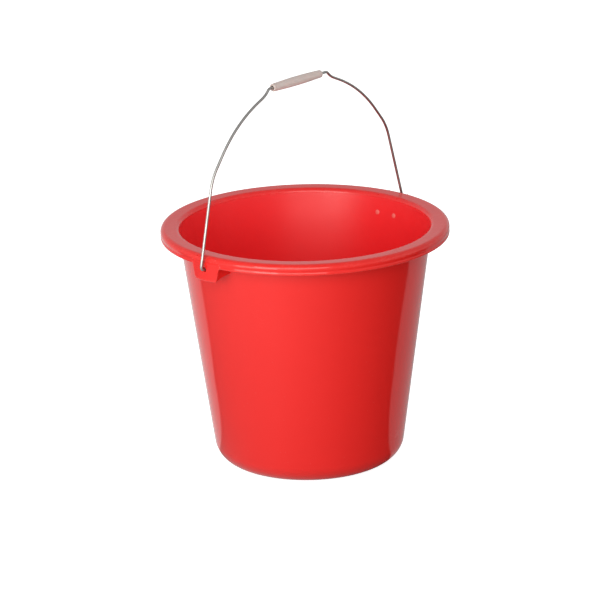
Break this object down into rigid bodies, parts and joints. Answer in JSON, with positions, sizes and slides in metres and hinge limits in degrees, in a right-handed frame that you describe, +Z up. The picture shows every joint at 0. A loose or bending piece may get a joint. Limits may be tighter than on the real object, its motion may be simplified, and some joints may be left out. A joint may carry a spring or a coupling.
{
  "type": "wash bucket",
  "caption": "Tapered round plastic wash bucket with a flat flanged rim, two moulded ears and a wire bail with a loose sleeve grip.",
  "frame": {"origin": "centre of the base, on the surface that the bucket stands on", "axes": "+Z up out of the mouth, +X through the two ears along the bail's swing axis, +Y the side that the raised bail leans towards"},
  "size_m": [0.325, 0.31, 0.4247],
  "materials": {
    "bucket_plastic": "glossy moulded polypropylene",
    "bail_steel": "zinc-plated drawn wire, satin",
    "grip_plastic": "satin off-white plastic"
  },
  "bodies": {
    "bucket": {"bucket": "bucket_plastic"},
    "bail": {"bail": "bail_steel"},
    "grip": {"grip": "grip_plastic"}
  },
  "joints": [
    {"name": "bail_swing", "type": "hinge", "parent": "bucket", "child": "bail", "pos_m": [0, 0, 0.2489], "axis": [1, 0, 0], "range_deg": [-131.9, 135.3]},
    {"name": "grip_spin", "type": "hinge", "parent": "bail", "child": "grip", "pos_m": [-0.0025, 0.00507, 0.41963], "axis": [1, 0, 0], "continuous": true}
  ]
}
